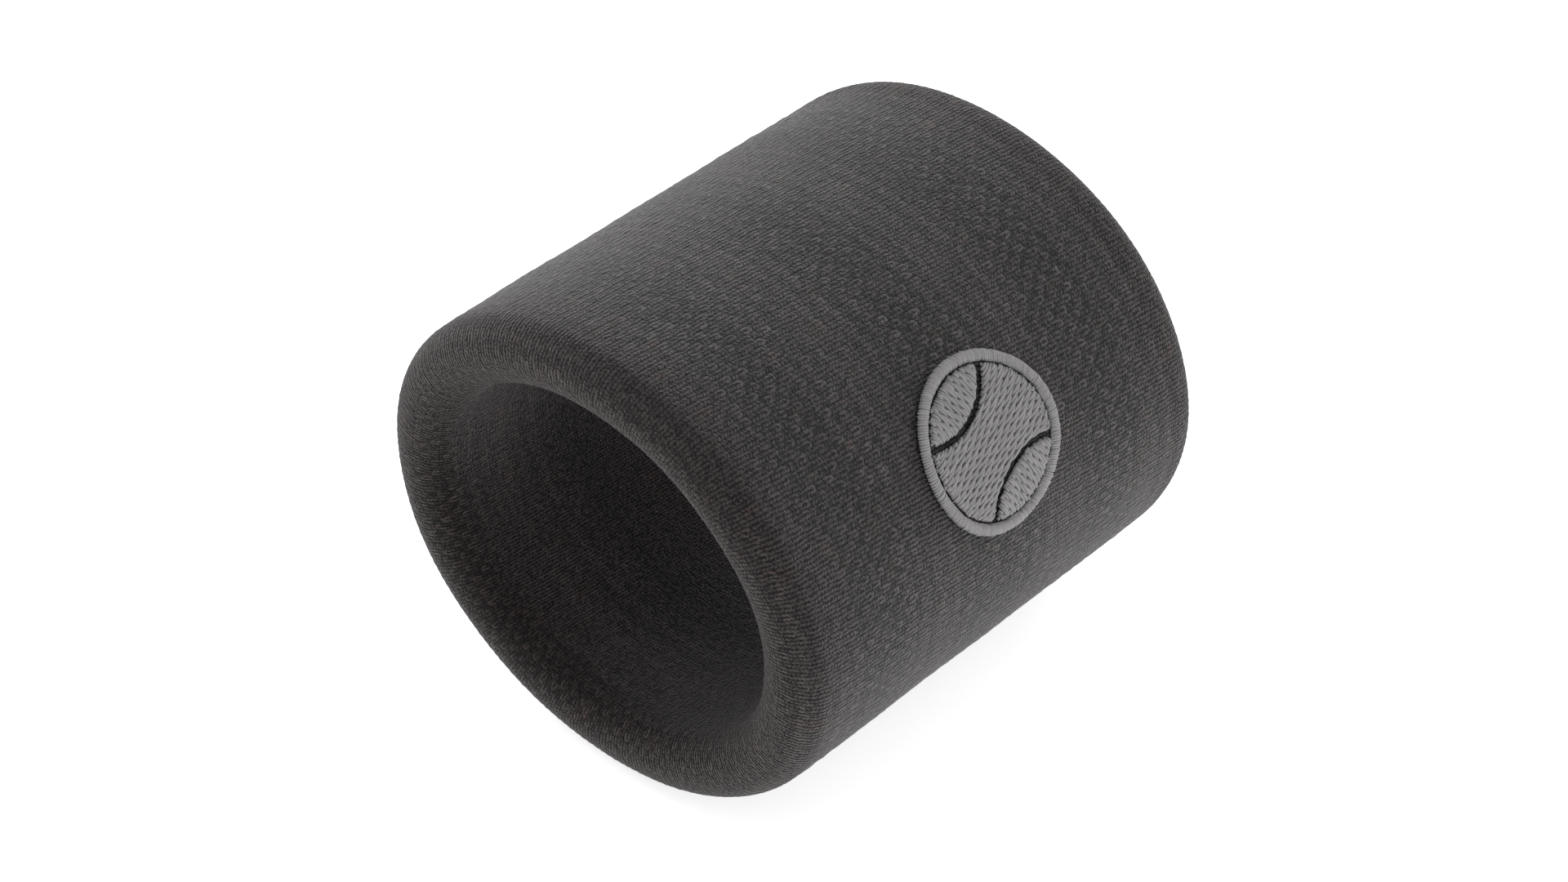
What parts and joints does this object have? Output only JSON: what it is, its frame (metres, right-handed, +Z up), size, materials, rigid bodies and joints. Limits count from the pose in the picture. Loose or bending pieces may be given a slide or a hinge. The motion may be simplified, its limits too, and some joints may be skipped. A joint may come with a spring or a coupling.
{
  "type": "sweat wristband",
  "caption": "Knitted terry wristband lying on its side: a soft double-walled tube with rolled rims, inner elastic threads, a small embroidered ball and a folded label in the bore.",
  "frame": {"origin": "middle of the narrow flat on the underside that the band rests on as it lies on its side", "axes": "+Y along the bore, from the rim that faces the viewer to the far rim; +Z up; +X across the bore, to the side that carries the embroidered ball"},
  "size_m": [0.0748, 0.076, 0.0657],
  "materials": {
    "terry": "charcoal heather knit terry",
    "seam_thread": "spun polyester overlock thread",
    "elastic": "covered rubber thread",
    "embroidery": "light grey satin-stitched thread",
    "backing": "non-woven patch",
    "label": "blank satin ribbon"
  },
  "bodies": {
    "band": {"terry_tube": "terry", "closing_seam_thread": "seam_thread", "elastic_thread_01": "elastic", "elastic_thread_02": "elastic", "elastic_thread_03": "elastic", "elastic_thread_04": "elastic", "elastic_thread_05": "elastic", "elastic_thread_06": "elastic", "elastic_thread_07": "elastic", "elastic_thread_08": "elastic", "elastic_thread_09": "elastic", "elastic_thread_10": "elastic", "elastic_thread_11": "elastic", "elastic_thread_12": "elastic", "emblem_border": "embroidery", "emblem_panel_left": "embroidery", "emblem_panel_middle": "embroidery", "emblem_panel_right": "embroidery", "embroidery_backing": "backing"},
    "label": {"care_label": "label"}
  },
  "joints": [
    {"name": "label_flap", "type": "hinge", "parent": "band", "child": "label", "pos_m": [0, 0.0076, 0.01016], "axis": [1, 0, 0], "range_deg": [0, 180]}
  ]
}
